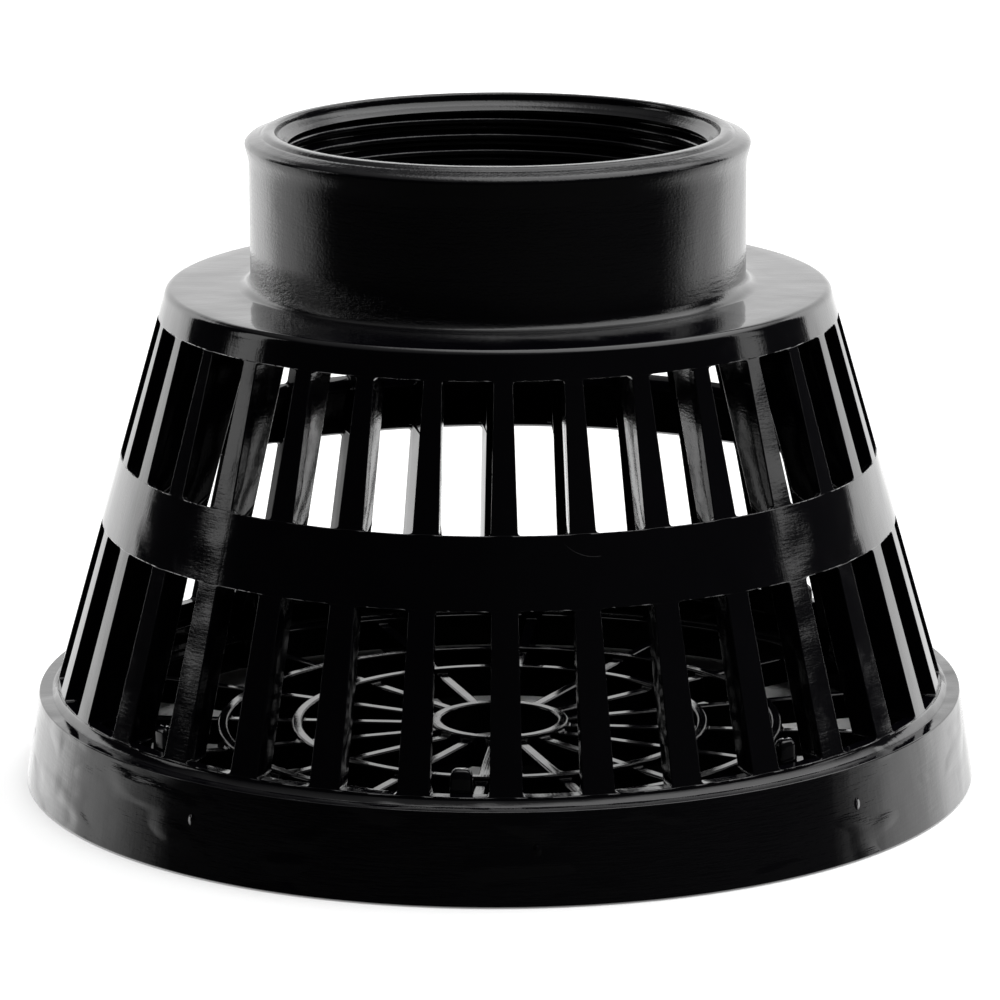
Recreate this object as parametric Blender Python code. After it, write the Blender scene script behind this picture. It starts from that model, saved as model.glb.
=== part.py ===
"""Two-inch plastic foot valve: a slotted strainer cage with a threaded collar, a snap-in bottom grid,
and a spring-loaded poppet valve held in its neck.

Metres, +Z up. The origin is on the valve's axis, in the plane that the skirt stands on, and the
front of the cage faces -Y. Angles are measured about +Z from -Y towards +X.
"""

import math

import bmesh
import bpy

MM = 0.001
GAP = 0.3 * MM  # between pieces that rest on each other

# Cage: a cone of ribs with two rows of parallel-sided slots
RIBS = 32
PITCH = 2 * math.pi / RIBS
CONE_SLOPE = 0.2875
SILL_RADIUS = 60.5 * MM  # outside of the cone at the foot of the lower slots
SILL_Z = 13.1 * MM
LOWER_SLOT_TOP_Z = 35.6 * MM
UPPER_SLOT_FOOT_Z = 44.9 * MM
UPPER_SLOT_TOP_Z = 63.7 * MM
LOWER_SLOT_FOOT_WIDTH = 7.6 * MM
LOWER_SLOT_TOP_WIDTH = 7.15 * MM
UPPER_SLOT_WIDTH = 6.6 * MM
CAGE_SKIN = 1.7 * MM
RIB_DEPTH = 4.2 * MM  # below the middle band; above it the ribs deepen towards the plate
RIB_TOP_DEPTH = 6.3 * MM
RIB_TAPER = 0.2 * MM  # that each flank gives up on the way in
SLOT_TOP_RISE = 1.1 * MM  # slope of the lower slots' tops, from the outside in
SILL_DROP = 1.6 * MM  # slope of the upper slots' sills, from the outside in

# Skirt under the cage
SKIRT_TOP_Z = 12.0 * MM
SKIRT_TOP_RADIUS = 63.1 * MM
SKIRT_FOOT_RADIUS = 65.1 * MM
SKIRT_WALL = 2.0 * MM
SHELF_Z = 10.2 * MM  # inner shelf that the grid's rim stops against

# Top plate and threaded collar
PLATE_TOP_Z = 67.6 * MM
PLATE_UNDER_Z = 65.2 * MM
PLATE_EDGE_RADIUS = 43.8 * MM
SHOULDER_DROP = 1.0 * MM
COLLAR_RADIUS = 33.45 * MM
COLLAR_FOOT_FILLET = 1.7 * MM
COLLAR_TOP_Z = 88.7 * MM
BEAD_RADIUS = 33.9 * MM
BEAD_DROP = 1.8 * MM  # the bead's widest line, below the rim
BEAD_END_DROP = 4.5 * MM
RIM_FLAT_RADIUS = 31.1 * MM
MOUTH_RADIUS = 29.9 * MM
MOUTH_DEPTH = 0.95 * MM  # plain land above the thread
MOUTH_CHAMFER = 1.2 * MM

# Female straight two-inch pipe thread, 11.5 threads to the inch, right-handed
THREAD_PITCH = 25.4 / 11.5 * MM
THREAD_MAJOR_RADIUS = 29.8 * MM
THREAD_MINOR_RADIUS = 28.33 * MM
THREAD_END_Z = 76.6 * MM
THREAD_FLANK = math.radians(30)
THREAD_ROOT_HALF = 0.18 * MM

# Check valve, stacked on the ledge in the neck
LEDGE_Z = 67.9 * MM
LEDGE_BORE_RADIUS = 24.0 * MM
GASKET_RADIUS = 27.6 * MM
SEAT_GASKET_BORE_RADIUS = 24.6 * MM
SEAT_GASKET_THICK = 1.2 * MM
PIPE_GASKET_BORE_RADIUS = 22.4 * MM
PIPE_GASKET_THICK = 1.8 * MM
SEAT_RADIUS = 27.95 * MM
SEAT_THICK = 3.5 * MM
SEAT_BORE_RADIUS = 17.6 * MM
LIP_WIDTH = 1.4 * MM
LIP_HEIGHT = 1.0 * MM
HUB_RADIUS = 4.4 * MM
HUB_LENGTH = 8.0 * MM
HUB_DROP = 0.4 * MM  # below the seat ring's top
ARM_COUNT = 4
ARM_WIDTH = 2.2 * MM
ARM_HEIGHT = 2.7 * MM
ARM_RISE = 0.2 * MM  # above the seat ring's underside
STEM_RADIUS = 2.0 * MM
STEM_PLAY = 0.1 * MM
LIFT = 6.0 * MM
CLAMP_RADIUS = 14.5 * MM
CLAMP_THICK = 1.0 * MM
SEAL_RADIUS = 20.4 * MM
SEAL_THICK = 1.8 * MM
POPPET_RADIUS = 21.2 * MM
POPPET_THICK = 2.0 * MM
POPPET_CHAMFER = 0.8 * MM
POPPET_BOSS_RADIUS = 6.5 * MM
POPPET_BOSS_HEIGHT = 1.2 * MM
HEX_RADIUS = 4.04 * MM
HEAD_HEIGHT = 2.2 * MM
NUT_HEIGHT = 2.0 * MM
RETAINER_RADIUS = 6.6 * MM
RETAINER_THICK = 1.0 * MM
SPRING_WIRE_RADIUS = 0.45 * MM
SPRING_TOP_RADIUS = 8.0 * MM
SPRING_FOOT_RADIUS = 5.3 * MM
SPRING_TURNS = 4.5

# Bottom grid
GRID_UNDER_Z = 2.0 * MM
RING_TOP_Z = 6.4 * MM
SPOKE_TOP_Z = 5.7 * MM
GRID_HUB_RADIUS = 9.55 * MM
GRID_RING_RADII = (28.7 * MM, 38.9 * MM)
RING_WALL = 1.5 * MM
SPOKE_COUNT = 16
SPOKE_WIDTH = 1.5 * MM
SPOKE_RISE = 0.2 * MM  # above the rings' underside
RIM_INNER_RADIUS = 56.6 * MM
RIM_PLAY = 0.45 * MM  # between the rim and the skirt's wall
RIM_STEP_RADIUS = 58.9 * MM
PEG_COUNT = 8
PEG_TOP_Z = 15.9 * MM
PEG_SUNK = 1.0 * MM  # how far its foot runs into the rim
PEG_FOOT_RADIUS = 57.6 * MM
PEG_LEAN = 0.03
PEG_WIDTH = 3.5 * MM
PEG_DEPTH = 2.2 * MM
PEG_TAPER = 0.82
PEG_DOME = 0.9 * MM
PEG_DOME_TAPER = 0.5


def clear_scene():
    for obj in list(bpy.data.objects):
        bpy.data.objects.remove(obj)


def add_material(name, color, roughness, metallic=0.0):
    """A Principled BSDF material."""
    made = bpy.data.materials.new(name)
    made.use_nodes = True
    shader = made.node_tree.nodes["Principled BSDF"]
    shader.inputs["Base Color"].default_value = (*color, 1.0)
    shader.inputs["Roughness"].default_value = roughness
    shader.inputs["Metallic"].default_value = metallic
    return made


def add_object(name, bm, material, helper=False):
    """Turns a bmesh into an object. A helper is a cutter or a piece to be joined on."""
    bmesh.ops.recalc_face_normals(bm, faces=bm.faces)
    mesh = bpy.data.meshes.new(name)
    bm.to_mesh(mesh)
    bm.free()
    mesh.shade_smooth()
    mesh.set_sharp_from_angle(angle=math.radians(30))
    obj = bpy.data.objects.new(name, mesh)
    bpy.context.scene.collection.objects.link(obj)
    if material:
        mesh.materials.append(material)
    if helper:
        obj.hide_render = True
        obj.display_type = "WIRE"
    return obj


def join(obj, other, operation):
    modifier = obj.modifiers.new(operation.lower(), "BOOLEAN")
    modifier.operation = operation
    modifier.object = other


def lathe(bm, profile, steps):
    """Spins a closed outline of (radius, z) points about the axis."""
    verts = [bm.verts.new((0, -radius, z)) for radius, z in profile]
    edges = [bm.edges.new((a, b)) for a, b in zip(verts, verts[1:] + verts[:1])]
    around = {"cent": (0, 0, 0), "axis": (0, 0, 1), "angle": 2 * math.pi, "steps": steps}
    bmesh.ops.spin(bm, geom=verts + edges, **around)
    bmesh.ops.remove_doubles(bm, verts=bm.verts, dist=0.001 * MM)


def washer(bm, inner, outer, low, high, steps=48):
    lathe(bm, [(inner, low), (outer, low), (outer, high), (inner, high)], steps)


def polar(radius, angle, z):
    return (radius * math.sin(angle), -radius * math.cos(angle), z)


def skin_loops(bm, loops):
    """A closed skin through a run of vertex loops, with a face over each end."""
    bm.faces.new(loops[0])
    bm.faces.new(loops[-1])
    for a, b in zip(loops, loops[1:]):
        for i in range(len(a)):
            j = (i + 1) % len(a)
            bm.faces.new((a[i], a[j], b[j], b[i]))


def prism(bm, corners, low, high):
    """An upright prism over a flat outline of (x, y) corners."""
    skin_loops(bm, [[bm.verts.new((x, y, z)) for x, y in corners] for z in (low, high)])


def bar(bm, angle, start, end, width, low, high):
    """A straight bar that runs outwards from one radius to another."""
    out = (math.sin(angle), -math.cos(angle))
    side = (math.cos(angle), math.sin(angle))
    corners = []
    for along, across in ((start, -1), (end, -1), (end, 1), (start, 1)):
        corners.append(
            tuple(along * out[i] + across * width / 2 * side[i] for i in range(2))
        )
    prism(bm, corners, low, high)


def outline(radius, sides):
    """The flat (x, y) corners of a regular polygon."""
    return [polar(radius, 2 * math.pi * k / sides, 0)[:2] for k in range(sides)]


# The strainer body


def cone_radius(z):
    """Outside radius of the cage's cone at a height."""
    return SILL_RADIUS - CONE_SLOPE * (z - SILL_Z)


def rib_depth(z):
    """How far the ribs reach inwards from the cone at a height."""
    share = (z - LOWER_SLOT_TOP_Z) / (PLATE_UNDER_Z - LOWER_SLOT_TOP_Z)
    return RIB_DEPTH + (RIB_TOP_DEPTH - RIB_DEPTH) * max(share, 0.0)


def slot_half(z):
    """Half the slot's width at a height. The lower row is wider, and widens towards its foot."""
    if z > LOWER_SLOT_TOP_Z:
        return UPPER_SLOT_WIDTH / 2
    share = (LOWER_SLOT_TOP_Z - z) / (LOWER_SLOT_TOP_Z - SILL_Z)
    return (LOWER_SLOT_TOP_WIDTH + (LOWER_SLOT_FOOT_WIDTH - LOWER_SLOT_TOP_WIDTH) * share) / 2


def ring(bm, radius, z, half=None):
    """A loop of vertices, two for each slot: at the slot's edges, or evenly spaced."""
    verts = []
    for k in range(RIBS):
        spread = math.asin(half / radius) if half else PITCH / 4
        for side in (-1, 1):
            angle = (k + 0.5) * PITCH + side * spread
            verts.append(bm.verts.new(polar(radius, angle, z)))
    return verts


def band(bm, low, high, over="all"):
    """Faces between two rings: all round, or only over the slots or over the ribs."""
    for i in range(len(low)):
        kind = "ribs" if i % 2 else "slots"
        if over in ("all", kind):
            j = (i + 1) % len(low)
            bm.faces.new((low[i], low[j], high[j], high[i]))


def flanks(bm, outer_low, inner_low, outer_high, inner_high):
    """The side faces of the ribs between two heights."""
    for corners in zip(outer_low, inner_low, inner_high, outer_high):
        bm.faces.new(corners)


def cage(bm):
    """The ribbed, slotted wall. Returns its open ends: outside foot and top, inside foot and top."""
    heights = [SHELF_Z, SILL_Z, LOWER_SLOT_TOP_Z, UPPER_SLOT_FOOT_Z, UPPER_SLOT_TOP_Z, PLATE_UNDER_Z]
    outside, skin, ribs = [], [], []
    for z in heights:
        half = slot_half(z)
        outside.append(ring(bm, cone_radius(z), z, half))
        rise = {LOWER_SLOT_TOP_Z: SLOT_TOP_RISE, UPPER_SLOT_FOOT_Z: -SILL_DROP}.get(z, 0.0)
        skin.append(ring(bm, cone_radius(z + rise) - CAGE_SKIN, z + rise, half))
        ribs.append(ring(bm, cone_radius(z) - rib_depth(z), z, half + RIB_TAPER))
    foot = ring(bm, cone_radius(SKIRT_TOP_Z), SKIRT_TOP_Z, slot_half(SKIRT_TOP_Z))
    outside[0] = foot
    top_z = PLATE_TOP_Z - SHOULDER_DROP
    outside[-1] = ring(bm, cone_radius(top_z), top_z, slot_half(top_z))
    for i in range(len(heights) - 1):
        slotted = i in (1, 3)
        band(bm, outside[i], outside[i + 1], "ribs" if slotted else "all")
        band(bm, ribs[i], ribs[i + 1], "ribs")
        flanks(bm, skin[i], ribs[i], skin[i + 1], ribs[i + 1])
        if slotted:
            flanks(bm, outside[i], skin[i], outside[i + 1], skin[i + 1])
            band(bm, outside[i], skin[i], "slots")
            band(bm, outside[i + 1], skin[i + 1], "slots")
        else:
            band(bm, skin[i], skin[i + 1], "slots")
    band(bm, skin[0], ribs[0], "ribs")
    band(bm, skin[-1], ribs[-1], "slots")
    return outside[0], outside[-1], skin[0], ribs[-1]


def chain(bm, start, points, end):
    """Bands through a run of even rings, from one open end to another."""
    last = start
    for radius, z in points:
        following = ring(bm, radius, z)
        band(bm, last, following)
        last = following
    band(bm, last, end)


def arc(centre, radius, start, end, steps):
    """Points on an arc in the (radius, z) plane, by angles in degrees from +radius."""
    points = []
    for i in range(steps + 1):
        angle = math.radians(start + (end - start) * i / steps)
        points.append((centre[0] + radius * math.cos(angle), centre[1] + radius * math.sin(angle)))
    return points


def strainer_body(material):
    bm = bmesh.new()
    foot, shoulder, inner_foot, inner_top = cage(bm)
    wall_foot = SKIRT_FOOT_RADIUS - SKIRT_WALL
    wall_top = SKIRT_TOP_RADIUS - SKIRT_WALL
    skirt = [(SKIRT_TOP_RADIUS, SKIRT_TOP_Z), (SKIRT_FOOT_RADIUS, 0), (wall_foot, 0), (wall_top, SHELF_Z)]
    chain(bm, foot, skirt, inner_foot)
    plate_edge = (PLATE_EDGE_RADIUS, PLATE_TOP_Z)
    fillet_centre = (COLLAR_RADIUS + COLLAR_FOOT_FILLET, PLATE_TOP_Z + COLLAR_FOOT_FILLET)
    collar = [plate_edge, *arc(fillet_centre, COLLAR_FOOT_FILLET, 270, 180, 3)]
    collar.append((COLLAR_RADIUS, COLLAR_TOP_Z - BEAD_END_DROP))
    collar.append((BEAD_RADIUS, COLLAR_TOP_Z - BEAD_DROP))
    collar.append((RIM_FLAT_RADIUS, COLLAR_TOP_Z))
    collar.append((MOUTH_RADIUS, COLLAR_TOP_Z))
    collar.append((MOUTH_RADIUS, COLLAR_TOP_Z - MOUTH_DEPTH))
    collar.append((THREAD_MINOR_RADIUS, COLLAR_TOP_Z - MOUTH_DEPTH - MOUTH_CHAMFER))
    collar.append((THREAD_MINOR_RADIUS, LEDGE_Z))
    collar.append((LEDGE_BORE_RADIUS, LEDGE_Z))
    collar.append((LEDGE_BORE_RADIUS, PLATE_UNDER_Z))
    chain(bm, shoulder, collar, inner_top)
    loose = [vert for vert in bm.verts if not vert.link_faces]
    bmesh.ops.delete(bm, geom=loose, context="VERTS")
    body = add_object("strainer_body", bm, material)
    join(body, thread_cutter(), "DIFFERENCE")


def thread_cutter():
    """A closed V-shaped coil that cuts the thread's groove out of the collar's bore."""
    steps_per_turn = RIBS
    inner = THREAD_MINOR_RADIUS - THREAD_ROOT_HALF
    mouth_half = THREAD_ROOT_HALF + (THREAD_MAJOR_RADIUS - inner) * math.tan(THREAD_FLANK)
    section = [
        (inner, -mouth_half),
        (THREAD_MAJOR_RADIUS, -THREAD_ROOT_HALF),
        (THREAD_MAJOR_RADIUS, THREAD_ROOT_HALF),
        (inner, mouth_half),
    ]
    turns = (COLLAR_TOP_Z - THREAD_END_Z) / THREAD_PITCH
    bm = bmesh.new()
    loops = []
    for step in range(round(turns * steps_per_turn) + 1):
        turn = step / steps_per_turn
        angle = (turn + 0.25 / steps_per_turn) * 2 * math.pi
        z = THREAD_END_Z + turn * THREAD_PITCH
        loops.append([bm.verts.new(polar(r, angle, z + dz)) for r, dz in section])
    skin_loops(bm, loops)
    return add_object("thread_cutter", bm, None, helper=True)


# The bottom grid


def peg(bm, angle):
    """A tapered post with a domed top that leans towards the axis and stands in a slot."""
    out = (math.sin(angle), -math.cos(angle))
    side = (math.cos(angle), math.sin(angle))
    foot_z = RING_TOP_Z - PEG_SUNK
    levels = [(foot_z, 1.0), (PEG_TOP_Z - PEG_DOME, PEG_TAPER), (PEG_TOP_Z, PEG_DOME_TAPER)]
    loops = []
    for z, size in levels:
        centre = PEG_FOOT_RADIUS - PEG_LEAN * (z - foot_z)
        loop = []
        for k in range(8):
            turn = (k + 0.5) * math.pi / 4
            along = centre + size * PEG_DEPTH / 2 * math.cos(turn) / math.cos(math.pi / 8)
            across = size * PEG_WIDTH / 2 * math.sin(turn) / math.cos(math.pi / 8)
            loop.append(bm.verts.new((*(along * out[i] + across * side[i] for i in range(2)), z)))
        loops.append(loop)
    skin_loops(bm, loops)


def bottom_grid(material):
    rings = bmesh.new()
    washer(rings, GRID_HUB_RADIUS - RING_WALL, GRID_HUB_RADIUS, GRID_UNDER_Z, RING_TOP_Z, 32)
    for radius in GRID_RING_RADII:
        washer(rings, radius - RING_WALL, radius, GRID_UNDER_Z, RING_TOP_Z, 64)
    slope = (SKIRT_FOOT_RADIUS - SKIRT_TOP_RADIUS) / SKIRT_TOP_Z
    rim_top_z = SHELF_Z - GAP
    rim_outer = SKIRT_TOP_RADIUS - SKIRT_WALL - RIM_PLAY
    rim = [
        (RIM_INNER_RADIUS, GRID_UNDER_Z),
        (rim_outer + slope * (rim_top_z - GRID_UNDER_Z), GRID_UNDER_Z),
        (rim_outer, rim_top_z),
        (RIM_STEP_RADIUS, rim_top_z),
        (RIM_STEP_RADIUS, RING_TOP_Z),
        (RIM_INNER_RADIUS, RING_TOP_Z),
    ]
    lathe(rings, rim, 64)
    grid = add_object("bottom_grid", rings, material)
    spokes = bmesh.new()
    start = GRID_HUB_RADIUS - RING_WALL / 2
    end = RIM_INNER_RADIUS + RING_WALL / 2
    low = GRID_UNDER_Z + SPOKE_RISE
    for k in range(SPOKE_COUNT):
        angle = (k - 0.25) * 2 * math.pi / SPOKE_COUNT
        bar(spokes, angle, start, end, SPOKE_WIDTH, low, SPOKE_TOP_Z)
    join(grid, add_object("grid_spokes", spokes, None, helper=True), "UNION")
    pegs = bmesh.new()
    for k in range(PEG_COUNT):
        peg(pegs, (k * RIBS // PEG_COUNT - 0.5) * PITCH)
    join(grid, add_object("grid_pegs", pegs, None, helper=True), "UNION")


# The check valve in the neck


def valve_seat(material, low):
    """The seat ring with its raised lip, and the spider that guides the stem."""
    top = low + SEAT_THICK
    lip_outer = SEAT_BORE_RADIUS + LIP_WIDTH
    ring_outline = [
        (SEAT_BORE_RADIUS, low),
        (SEAT_RADIUS, low),
        (SEAT_RADIUS, top),
        (lip_outer + LIP_HEIGHT / 2, top),
        (lip_outer, top + LIP_HEIGHT),
        (SEAT_BORE_RADIUS, top + LIP_HEIGHT),
    ]
    bm = bmesh.new()
    lathe(bm, ring_outline, 48)
    hub_top = top - HUB_DROP
    washer(bm, STEM_RADIUS + STEM_PLAY, HUB_RADIUS, hub_top - HUB_LENGTH, hub_top, 32)
    seat = add_object("valve_seat", bm, material)
    arms = bmesh.new()
    inner = (STEM_RADIUS + STEM_PLAY + HUB_RADIUS) / 2
    outer = SEAT_BORE_RADIUS + LIP_WIDTH
    arm_low = low + ARM_RISE
    for k in range(ARM_COUNT):
        angle = (k + 0.5) * 2 * math.pi / ARM_COUNT
        bar(arms, angle, inner, outer, ARM_WIDTH, arm_low, arm_low + ARM_HEIGHT)
    join(seat, add_object("seat_arms", arms, None, helper=True), "UNION")
    return arm_low, hub_top - HUB_LENGTH


def return_spring(material, foot, top):
    """A conical wire coil, wide under the spider and narrow on the retainer."""
    bm = bmesh.new()
    steps_per_turn, sides = 20, 6
    low = foot + SPRING_WIRE_RADIUS
    high = top - SPRING_WIRE_RADIUS
    count = round(SPRING_TURNS * steps_per_turn)
    loops = []
    for step in range(count + 1):
        share = step / count
        angle = 2 * math.pi * step / steps_per_turn
        radius = SPRING_FOOT_RADIUS + (SPRING_TOP_RADIUS - SPRING_FOOT_RADIUS) * share
        z = low + (high - low) * share
        loop = []
        for k in range(sides):
            turn = 2 * math.pi * k / sides
            across = radius + SPRING_WIRE_RADIUS * math.cos(turn)
            loop.append(bm.verts.new(polar(across, angle, z + SPRING_WIRE_RADIUS * math.sin(turn))))
        loops.append(loop)
    skin_loops(bm, loops)
    add_object("return_spring", bm, material)


def add_washer(name, material, inner, outer, low, high, steps=48):
    bm = bmesh.new()
    washer(bm, inner, outer, low, high, steps)
    add_object(name, bm, material)


def check_valve(black, rubber, steel):
    seat_gasket_z = LEDGE_Z + GAP
    seat_gasket_top = seat_gasket_z + SEAT_GASKET_THICK
    add_washer(
        "seat_gasket", rubber, SEAT_GASKET_BORE_RADIUS, GASKET_RADIUS, seat_gasket_z, seat_gasket_top
    )
    seat_z = seat_gasket_top + GAP
    arm_low, hub_foot = valve_seat(black, seat_z)
    gasket_z = seat_z + SEAT_THICK + GAP
    gasket_top = gasket_z + PIPE_GASKET_THICK
    add_washer("pipe_gasket", rubber, PIPE_GASKET_BORE_RADIUS, GASKET_RADIUS, gasket_z, gasket_top)
    hole = STEM_RADIUS + GAP
    seal_z = seat_z + SEAT_THICK + LIP_HEIGHT + GAP
    clamp_top = seal_z - GAP
    add_washer("seal_clamp_plate", steel, hole, CLAMP_RADIUS, clamp_top - CLAMP_THICK, clamp_top, 40)
    add_washer("poppet_seal", rubber, hole, SEAL_RADIUS, seal_z, seal_z + SEAL_THICK)
    poppet_z = seal_z + SEAL_THICK + GAP
    poppet_top = poppet_z + POPPET_THICK
    boss_top = poppet_top + POPPET_BOSS_HEIGHT
    plate_outline = [
        (hole, poppet_z),
        (POPPET_RADIUS, poppet_z),
        (POPPET_RADIUS, poppet_top - POPPET_CHAMFER),
        (POPPET_RADIUS - POPPET_CHAMFER, poppet_top),
        (POPPET_BOSS_RADIUS + POPPET_BOSS_HEIGHT, poppet_top),
        (POPPET_BOSS_RADIUS, boss_top),
        (hole, boss_top),
    ]
    bm = bmesh.new()
    lathe(bm, plate_outline, 48)
    add_object("poppet_plate", bm, black)
    retainer_top = hub_foot - LIFT - GAP
    retainer_z = retainer_top - RETAINER_THICK
    add_washer("spring_retainer", steel, hole, RETAINER_RADIUS, retainer_z, retainer_top, 32)
    nut_top = retainer_z - GAP
    stem_foot = nut_top - NUT_HEIGHT - GAP
    valve_stem(steel, stem_foot, boss_top + GAP)
    stem_nut(steel, nut_top - NUT_HEIGHT, nut_top, hole)
    return_spring(steel, retainer_top + GAP, arm_low - GAP)


def valve_stem(material, foot, head_z):
    """A hexagon-headed pin that holds the poppet's pieces together and slides in the hub."""
    bm = bmesh.new()
    prism(bm, outline(STEM_RADIUS, 24), foot, head_z + HEAD_HEIGHT / 2)
    stem = add_object("valve_stem", bm, material)
    head = bmesh.new()
    prism(head, outline(HEX_RADIUS, 6), head_z, head_z + HEAD_HEIGHT)
    join(stem, add_object("stem_head", head, None, helper=True), "UNION")


def stem_nut(material, low, high, hole):
    bm = bmesh.new()
    prism(bm, outline(HEX_RADIUS, 6), low, high)
    nut = add_object("stem_nut", bm, material)
    drill = bmesh.new()
    prism(drill, outline(hole, 24), low - NUT_HEIGHT, high + NUT_HEIGHT)
    join(nut, add_object("nut_drill", drill, None, helper=True), "DIFFERENCE")


def main():
    clear_scene()
    black = add_material("black_plastic", (0.006, 0.006, 0.008), 0.12)
    rubber = add_material("black_rubber", (0.02, 0.02, 0.02), 0.6)
    steel = add_material("stainless_steel", (0.6, 0.6, 0.62), 0.3, 1.0)
    strainer_body(black)
    bottom_grid(black)
    check_valve(black, rubber, steel)


main()
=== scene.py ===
"""Looks of the foot valve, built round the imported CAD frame.

Metres, +Z up, in the frame's own axes: the front faces -Y, and angles are measured about +Z from -Y
towards +X. Every piece stands for one CAD node or rides on a CAD body.
"""

import math

import bmesh
import bpy
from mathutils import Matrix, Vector


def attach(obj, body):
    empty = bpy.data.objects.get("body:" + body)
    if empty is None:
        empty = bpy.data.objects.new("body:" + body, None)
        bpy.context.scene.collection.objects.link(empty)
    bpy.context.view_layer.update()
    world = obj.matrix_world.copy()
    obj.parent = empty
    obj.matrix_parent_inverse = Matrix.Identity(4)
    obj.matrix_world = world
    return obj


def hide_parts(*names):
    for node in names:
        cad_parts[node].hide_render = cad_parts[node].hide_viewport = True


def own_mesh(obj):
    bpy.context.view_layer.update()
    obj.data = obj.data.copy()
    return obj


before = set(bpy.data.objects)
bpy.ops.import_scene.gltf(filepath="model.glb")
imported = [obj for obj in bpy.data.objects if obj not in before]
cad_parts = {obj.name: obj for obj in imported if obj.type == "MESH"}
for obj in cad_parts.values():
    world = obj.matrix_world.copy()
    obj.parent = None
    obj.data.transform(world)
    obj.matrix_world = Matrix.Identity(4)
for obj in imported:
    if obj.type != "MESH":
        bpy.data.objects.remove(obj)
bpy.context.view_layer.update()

MM = 0.001
TAU = 2 * math.pi

# Cage
RIBS = 32
PITCH = TAU / RIBS
SLOT_COLUMNS = 4
RIB_COLUMNS = 3
COLUMNS = SLOT_COLUMNS + RIB_COLUMNS
CONE_SLOPE = 0.2875
SILL_RADIUS = 60.5 * MM
SILL_Z = 13.1 * MM
LOWER_SLOT = (13.1 * MM, 35.6 * MM, 7.6 * MM, 7.15 * MM)  # foot, top, width at the foot and at the top
UPPER_SLOT = (44.9 * MM, 63.7 * MM, 6.6 * MM, 6.6 * MM)
CORNER = 0.45 * MM
CAGE_SKIN = 1.7 * MM
RIB_DEPTH = 4.2 * MM  # below the middle band; above it the ribs deepen towards the plate
RIB_TOP_DEPTH = 6.3 * MM
RIB_TAPER = 0.2 * MM  # that each flank gives up on the way in
SLOT_TOP_RISE = 1.1 * MM  # slope of the lower slots' tops, from the outside in
SILL_DROP = 1.8 * MM  # how far the rounded sills of the upper slots fall towards the inside
SKIN_SHARES = (0.0, 0.35, 0.7, 1.0)  # layers through the cage's skin

# Skirt, plate and collar, as in the CAD
SHELF_Z = 10.2 * MM
SKIRT_TOP_Z = 12.0 * MM
SKIRT_TOP_RADIUS = 63.1 * MM
SKIRT_FOOT_RADIUS = 65.04 * MM
SKIRT_WALL = 2.0 * MM
PLATE_TOP_Z = 67.6 * MM
PLATE_UNDER_Z = 65.2 * MM
COLLAR_RADIUS = 33.45 * MM
COLLAR_TOP_Z = 88.7 * MM
THREAD_PITCH = 25.4 / 11.5 * MM
THREAD_MAJOR = 29.75 * MM
THREAD_MINOR = 28.33 * MM
THREAD_END_Z = 76.6 * MM
LEDGE_Z = 67.9 * MM
LEDGE_BORE = 24.0 * MM


def polar(radius, angle, z):
    """A point by its radius, angle and height."""
    return (radius * math.sin(angle), -radius * math.cos(angle), z)


def smooth(a, b, x):
    """0 before a, 1 after b, and a smooth step between them."""
    t = min(max((x - a) / (b - a), 0.0), 1.0)
    return t * t * (3 - 2 * t)


def arc(centre, radius, start, end, steps):
    """Points on an arc in the (radius, z) plane, by angles in degrees from +radius."""
    points = []
    for i in range(steps + 1):
        angle = math.radians(start + (end - start) * i / steps)
        points.append((centre[0] + radius * math.cos(angle), centre[1] + radius * math.sin(angle)))
    return points


def capped_tube(bm, loops):
    """Faces along a run of equal loops, with both ends capped."""
    bm.faces.new(loops[0])
    bm.faces.new(loops[-1])
    for a, b in zip(loops, loops[1:]):
        for k in range(len(a)):
            j = (k + 1) % len(a)
            bm.faces.new((a[k], a[j], b[j], b[k]))


def round_edges(obj, width, segments):
    """Rounds the edges that carry a weight, and keeps the faces between them flat in the shading."""
    bevel = obj.modifiers.new("rounding", "BEVEL")
    bevel.width = width
    bevel.segments = segments
    bevel.limit_method = "WEIGHT"
    bevel.use_clamp_overlap = False
    bevel.harden_normals = True


def weigh_edges(bm, limit, keep_out=None):
    """Marks each edge sharper than limit degrees for the bevel, unless keep_out says no to its middle."""
    weight = bm.edges.layers.float.new("bevel_weight_edge")
    bm.normal_update()
    for edge in bm.edges:
        if len(edge.link_faces) != 2 or edge.calc_face_angle() < math.radians(limit):
            continue
        middle = (edge.verts[0].co + edge.verts[1].co) / 2
        if not (keep_out and keep_out(middle)):
            edge[weight] = 1.0


def add_piece(
    name, bm, material, body, node=None, rounding=None, segments=2, smooth_angle=50, keep_out=None
):
    """Turns a bmesh into a piece that rides on a body and may stand for a CAD node."""
    bmesh.ops.recalc_face_normals(bm, faces=bm.faces)
    if rounding:
        weigh_edges(bm, 35, keep_out)
    mesh = bpy.data.meshes.new(name)
    bm.to_mesh(mesh)
    bm.free()
    mesh.shade_smooth()
    mesh.set_sharp_from_angle(angle=math.radians(smooth_angle))
    obj = bpy.data.objects.new(name, mesh)
    bpy.context.scene.collection.objects.link(obj)
    mesh.materials.append(material)
    if rounding:
        round_edges(obj, rounding, segments)
    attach(obj, body)
    if node:
        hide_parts(node)
    return obj


# Materials

NUB_ANGLES = (-2.25, -1.45, -0.683, 0.061, 0.798, 1.55, 2.35)  # places of the small nubs round the skirt
NUB_Z = 7.2 * MM
SCRATCH_ANGLE = 0.225
SCRATCH_Z = 47.5 * MM
SCRATCH_RADIUS = 5.5 * MM


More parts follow.
